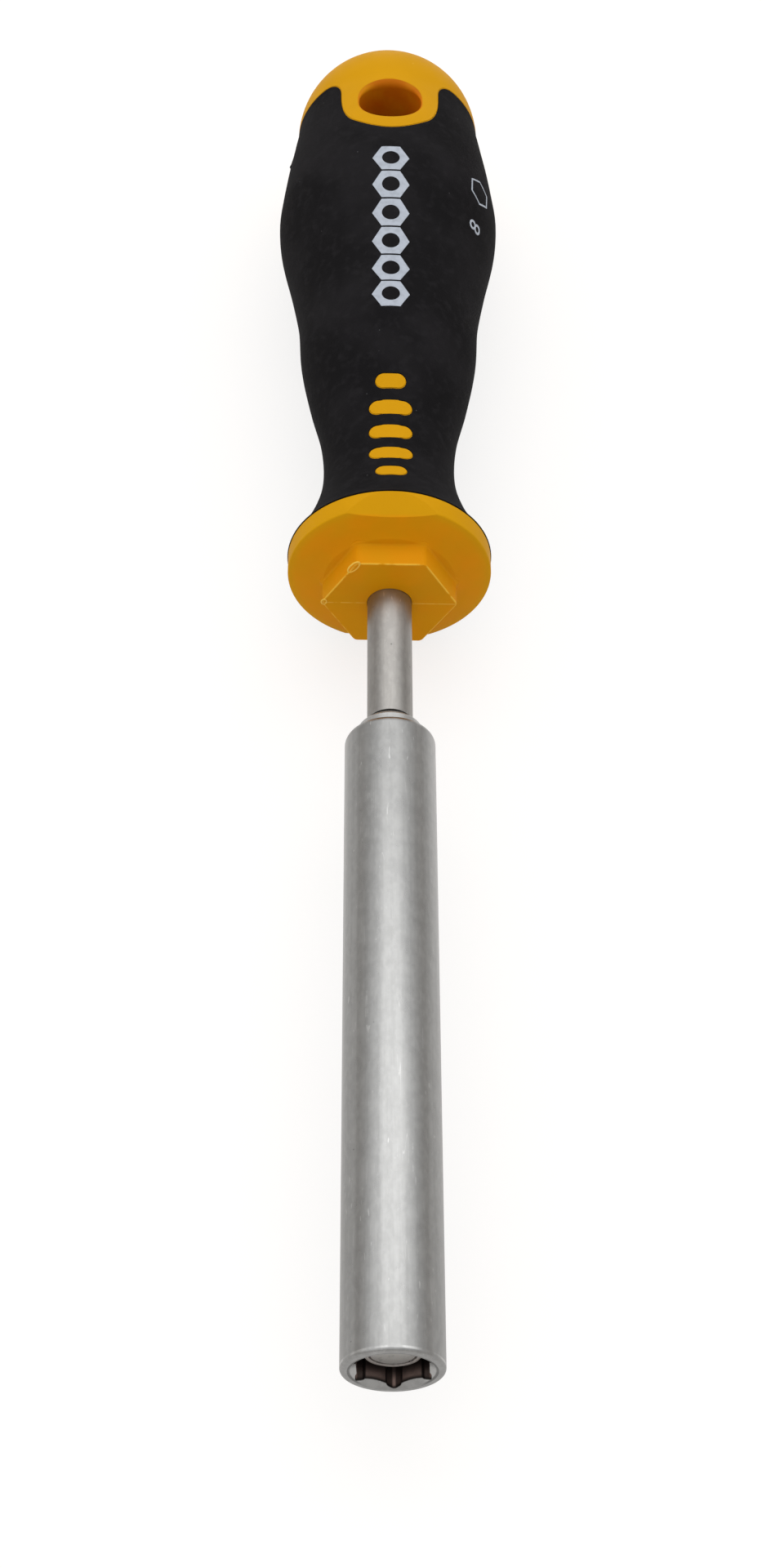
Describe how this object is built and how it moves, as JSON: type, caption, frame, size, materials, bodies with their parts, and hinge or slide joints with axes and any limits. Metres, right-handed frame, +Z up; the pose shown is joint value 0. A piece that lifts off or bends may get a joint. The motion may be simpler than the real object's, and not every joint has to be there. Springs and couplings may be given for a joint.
{
  "type": "nut driver",
  "caption": "Hand nut driver with a tubular socket blade, a sprung magnet in its mouth and a two-part grip with a hexagon bolster and a hanging hole.",
  "frame": {"origin": "Under the middle of the tool's length, in the plane it lies on, with the tool's axis 16.5 mm above it.", "axes": "+Y runs along the tool from the mouth to the end cap, +Z is up through the hanging hole, +X is to the right seen from the mouth."},
  "size_m": [0.033, 0.219, 0.033],
  "materials": {
    "tube_chrome": "satin chrome plate with fine lengthwise marks",
    "shank_chrome": "satin chrome plate",
    "magnet_plate": "dull nickel plate, nicked",
    "cup_plate": "nickel plate, worn at the rim",
    "spring_steel": "bright spring wire",
    "yellow_plastic": "moulded hard plastic, satin",
    "black_rubber": "matte soft overmould"
  },
  "bodies": {
    "driver": {"socket_tube": "tube_chrome", "shank": "shank_chrome", "retaining_ring": "spring_steel", "magnet_spring": "spring_steel", "handle_core": "yellow_plastic", "rubber_grip": "black_rubber"},
    "plunger": {"magnet_disc": "magnet_plate", "magnet_cup": "cup_plate"}
  },
  "joints": [
    {"name": "magnet_slide", "type": "slide", "parent": "driver", "child": "plunger", "axis": [0, 1, 0], "range_m": [0, 0.009], "stiffness_N_per_m": 300, "springref_m": -0.006, "deforming": ["magnet_spring"]}
  ]
}
